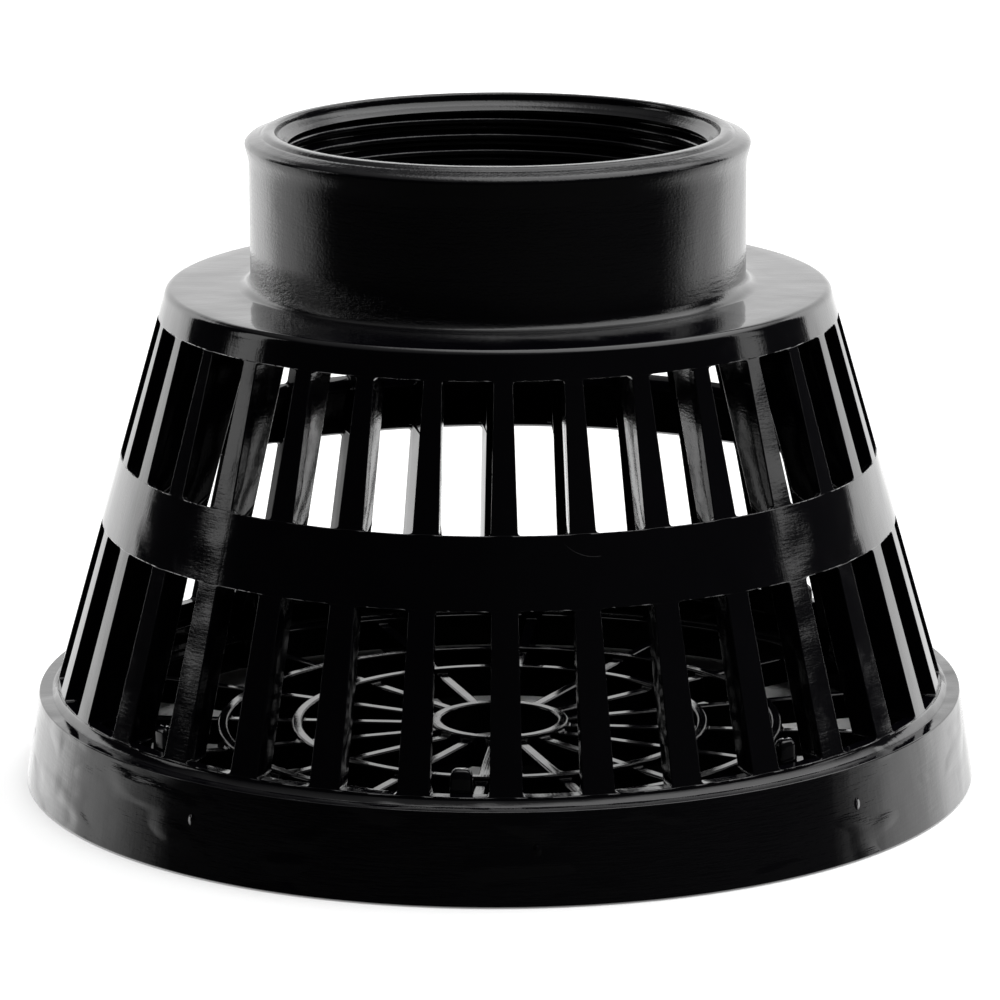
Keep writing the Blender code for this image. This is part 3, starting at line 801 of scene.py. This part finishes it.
def surround(n, direction, seen_from):
    """Brightness of what lies round the object, by direction: (below the horizon, above it).

    The studio turns with the camera, so that every side is lit as the front is. The direction is given
    twice, in the world's axes and in the camera's.
    """
    up = n.add("ShaderNodeSeparateXYZ", {0: direction}).outputs[2]
    across, _, away = n.add("ShaderNodeSeparateXYZ", {0: seen_from}).outputs
    level = n.math("SQRT", n.math("SUBTRACT", 1.0001, n.math("MULTIPLY", up, up)))
    across = n.math("DIVIDE", across, level)
    along = n.math("SUBTRACT", 1.0, n.math("MULTIPLY", across, across))
    along = n.math("SQRT", n.math("MAXIMUM", along, 0.0))
    along = n.math("MULTIPLY", along, n.math("SIGN", n.math("MULTIPLY_ADD", up, 0.235, away)))
    back = n.math("SUBTRACT", 2.15, n.step(along, 0.72, 0.98, 0.0, 0.8))
    on_right = n.step(across, -0.2, 0.2)
    side_light = n.math("MULTIPLY_ADD", on_right, 0.35, 1.2)
    front = n.step(across, -0.7, 0.8, 0.010, 0.034)
    # Below the horizon the sides light up towards the back.
    low = n.math("MULTIPLY", n.step(along, -0.12, 0.38), side_light)
    low = n.math("ADD", low, front)
    low = n.math("ADD", low, n.math("MULTIPLY", n.step(along, 0.5, 0.7), n.math("SUBTRACT", back, low)))
    # Above it there are two narrow strips at the sides, and the white back.
    strip = n.math("MULTIPLY", n.step(along, -0.06, 0.0), n.step(along, 0.16, 0.24, 1.5, 0.0))
    strip = n.math("MULTIPLY", strip, n.step(up, 0.125, 0.15))
    high = n.math("MAXIMUM", n.math("MULTIPLY", n.step(along, 0.57, 0.62), back), strip)
    return low, n.math("ADD", high, front)


def world_light():
    """White behind the object, a soft top light to the right, and dark towards the camera."""
    world = bpy.data.worlds.new("studio")
    bpy.context.scene.world = world
    world.use_nodes = True
    n = Nodes(world.node_tree)
    place = n.add("ShaderNodeTexCoord")
    direction = place.outputs["Generated"]
    up = n.add("ShaderNodeSeparateXYZ", {0: direction}).outputs[2]
    way = n.vector("NORMALIZE", place.outputs["Camera"])
    across, _, away = n.add("ShaderNodeSeparateXYZ", {0: way}).outputs
    low, high = surround(n, direction, way)
    light = n.math("MULTIPLY", high, n.step(up, 0.45, 0.6, 1.0, 0.0))
    is_high = n.step(up, -0.02, 0.0)
    light = n.math("MULTIPLY_ADD", n.math("SUBTRACT", light, low), is_high, low)
    towards = n.math("MULTIPLY_ADD", up, 0.92, n.math("MULTIPLY", across, 0.36))
    towards = n.math("MULTIPLY_ADD", away, 0.15, towards)
    top = n.math("ADD", n.step(towards, 0.70, 0.88, 0.0, 2.3), n.step(up, 0.5, 0.95, 0.0, 0.3))
    light = n.math("MAXIMUM", light, top)
    seen = n.add("ShaderNodeLightPath").outputs["Is Camera Ray"]
    light = n.math("MAXIMUM", light, n.math("MULTIPLY", seen, 2.0))
    tree = world.node_tree
    tree.links.new(light, tree.nodes["Background"].inputs["Strength"])
    tree.nodes["Background"].inputs["Color"].default_value = (1, 1, 1, 1)


def floor():
    """A plain pale disc under the object, clear from below. Its own brightness in reflections is a painted
    glow that copies the studio's light by direction, and a painted shadow darkens it inside the skirt's
    foot, for the camera too.
    """
    bm = bmesh.new()
    bmesh.ops.create_circle(bm, cap_ends=True, radius=FLOOR_RADIUS, segments=128)
    mesh = bpy.data.meshes.new("floor")
    bm.to_mesh(mesh)
    bm.free()
    obj = bpy.data.objects.new("floor", mesh)
    obj.location.z = -FLOOR_DROP
    bpy.context.scene.collection.objects.link(obj)
    made = bpy.data.materials.new("pale_floor")
    made.use_nodes = True
    n = Nodes(made.node_tree)
    seen = n.add("ShaderNodeLightPath").outputs["Is Camera Ray"]
    shader = made.node_tree.nodes["Principled BSDF"]
    # pale to the camera and near black to every other ray, which sees only the painted glow
    color = n.mix(seen, (0.02, 0.02, 0.02), (0.9, 0.9, 0.9))
    arrival = n.vector("MULTIPLY", n.add("ShaderNodeNewGeometry").outputs["Incoming"], (-1, -1, -1))
    spaces = {"vector_type": "VECTOR", "convert_from": "WORLD", "convert_to": "CAMERA"}
    seen_from = n.add("ShaderNodeVectorTransform", {0: arrival}, **spaces).outputs[0]
    # painted reflection of the studio: the glow that other rays see follows the surround's brightness by
    # direction
    glow, _ = surround(n, arrival, seen_from)
    from_axis = n.vector("LENGTH", n.add("ShaderNodeTexCoord").outputs["Object"])
    glow = n.math("MULTIPLY_ADD", seen, n.math("SUBTRACT", 0.45, glow), glow)
    # painted shadow: the glow fades out inside the skirt's foot, for camera rays as well
    glow = n.math("MULTIPLY", glow, n.step(from_axis, *SHADE_FOOTPRINT))
    plug(n, shader, Base_Color=color, Roughness=0.9, Specular_IOR_Level=0.1)
    plug(n, shader, Emission_Color=(1, 1, 1, 1), Emission_Strength=glow)
    from_below = n.add("ShaderNodeNewGeometry").outputs["Backfacing"]
    clear = n.add("ShaderNodeBsdfTransparent").outputs[0]
    surface = n.add("ShaderNodeMixShader", {0: from_below, 1: shader.outputs[0], 2: clear}).outputs[0]
    made.node_tree.links.new(surface, made.node_tree.nodes["Material Output"].inputs["Surface"])
    mesh.materials.append(made)


def camera():
    """A long lens a little above the object, as in the photo."""
    data = bpy.data.cameras.new("camera")
    data.lens = CAMERA_LENS
    data.sensor_width = 36
    data.clip_start = 0.05
    obj = bpy.data.objects.new("camera", data)
    bpy.context.scene.collection.objects.link(obj)
    obj.location = CAMERA_PLACE
    ahead = math.cos(CAMERA_DOWN)
    way = Vector((ahead * math.sin(CAMERA_TURN), ahead * math.cos(CAMERA_TURN), -math.sin(CAMERA_DOWN)))
    obj.rotation_euler = way.to_track_quat("-Z", "Y").to_euler()
    obj.rotation_euler.rotate_axis("Z", -CAMERA_ROLL)
    bpy.context.scene.camera = obj


def main():
    bpy.context.scene.view_settings.view_transform = "Standard"
    housing = gloss_black("gloss_black_housing", housing=True)
    black = gloss_black("gloss_black_plastic")
    rubber = matte_rubber("black_nitrile")
    steel = turned_steel("turned_steel")
    strainer_body(housing)
    grid_plate(black)
    for index in range(PEGS):
        grid_peg(black, index)
    check_valve(black, rubber, steel)
    world_light()
    floor()
    camera()


main()
